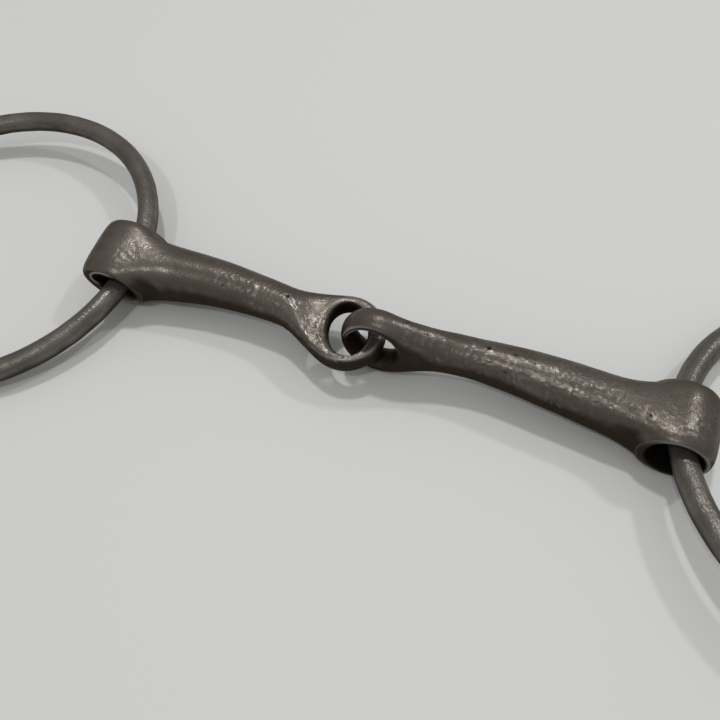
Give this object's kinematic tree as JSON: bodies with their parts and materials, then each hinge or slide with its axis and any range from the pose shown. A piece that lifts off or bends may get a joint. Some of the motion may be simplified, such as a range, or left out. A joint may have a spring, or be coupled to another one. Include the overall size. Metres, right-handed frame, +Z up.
{
  "type": "snaffle bit",
  "caption": "Loose-ring snaffle bit: a jointed mouthpiece of linked forged cannons with cross barrels, and a round wire ring running loose through each barrel.",
  "frame": {"origin": "on the table under the middle of the bit's overall box, as the bit lies spread out flat", "axes": "+X along the mouthpiece from the left ring to the right ring, +Y across it in the table plane, +Z up from the table"},
  "size_m": [0.3122, 0.1033, 0.0191],
  "materials": {
    "forged_iron": "worn dark iron, finely pitted, with brighter rubbed highlights",
    "ring_iron": "smooth worn dark iron wire"
  },
  "bodies": {
    "cannon_left": {"cannon_left": "forged_iron"},
    "cannon_right": {"cannon_right": "forged_iron"},
    "ring_left": {"ring_left": "ring_iron"},
    "ring_right": {"ring_right": "ring_iron"}
  },
  "joints": [
    {"name": "mouthpiece_fold", "type": "hinge", "parent": "cannon_left", "child": "cannon_right", "pos_m": [-0.0005, -0.002, 0.0083], "axis": [0, 1, 0], "range_deg": [-80, 80]},
    {"name": "ring_left_swing", "type": "hinge", "parent": "cannon_left", "child": "ring_left", "pos_m": [-0.06634, -0.0014, 0.00774], "axis": [0, 0.9848, 0.1736], "range_deg": [-125, 125]},
    {"name": "ring_right_swing", "type": "hinge", "parent": "cannon_right", "child": "ring_right", "pos_m": [0.06651, -0.0001, 0.00763], "axis": [0, 1, 0], "range_deg": [-125, 125]}
  ]
}
